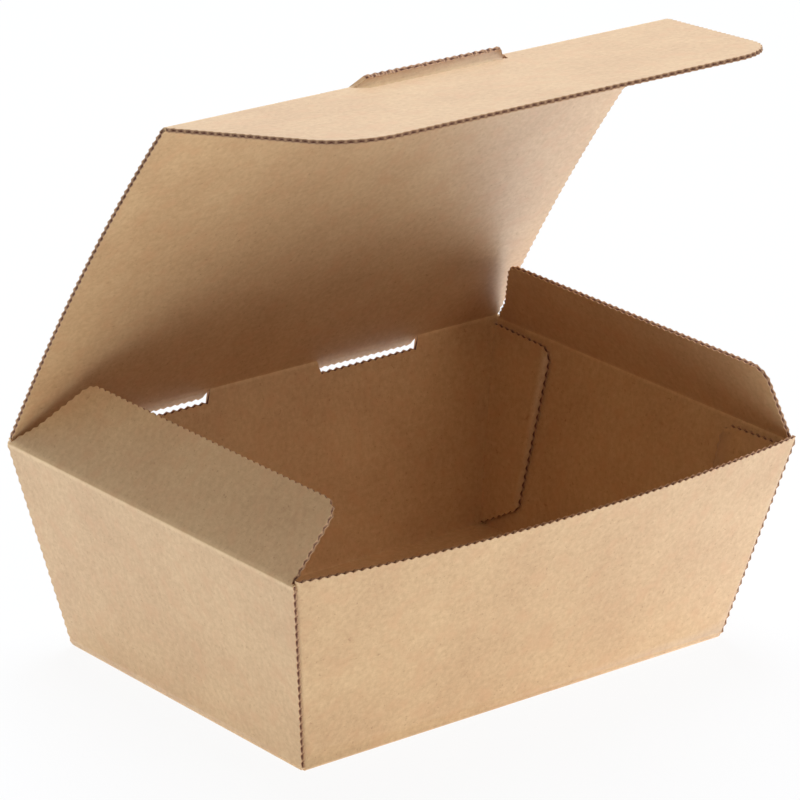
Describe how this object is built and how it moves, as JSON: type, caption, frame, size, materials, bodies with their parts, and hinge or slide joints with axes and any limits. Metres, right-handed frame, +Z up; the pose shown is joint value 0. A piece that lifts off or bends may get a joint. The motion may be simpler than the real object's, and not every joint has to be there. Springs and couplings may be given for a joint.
{
  "type": "takeaway box",
  "caption": "Folded kraft board takeaway box with tapered tray, hinged lid with tuck flap and pull tongue, and hinged side flaps, standing open.",
  "frame": {"origin": "middle of the floor, on the face that the box stands on", "axes": "+X along the front wall to the right, +Y from the front wall to the back wall that carries the lid, +Z up"},
  "size_m": [0.1768, 0.1359, 0.1754],
  "materials": {
    "kraft_board": "matt brown kraft paper over a micro-flute core"
  },
  "bodies": {
    "tray": {"tray": "kraft_board"},
    "lid": {"lid": "kraft_board"},
    "tuck_flap": {"tuck_flap": "kraft_board"},
    "left_side_flap": {"left_side_flap": "kraft_board"},
    "right_side_flap": {"right_side_flap": "kraft_board"}
  },
  "joints": [
    {"name": "lid_hinge", "type": "hinge", "parent": "tray", "child": "lid", "pos_m": [0, 0.06277, 0.0604], "axis": [-1, 0, 0], "range_deg": [-5, 122.7]},
    {"name": "tuck_flap_hinge", "type": "hinge", "parent": "lid", "child": "tuck_flap", "pos_m": [0, -0.00519, 0.16626], "axis": [-1, 0, 0], "range_deg": [-52, 43]},
    {"name": "left_side_flap_hinge", "type": "hinge", "parent": "tray", "child": "left_side_flap", "pos_m": [-0.08777, 0, 0.0596], "axis": [0, -1, 0], "range_deg": [-48, 132]},
    {"name": "right_side_flap_hinge", "type": "hinge", "parent": "tray", "child": "right_side_flap", "pos_m": [0.08777, 0, 0.0596], "axis": [0, 1, 0], "range_deg": [-66, 114]}
  ]
}
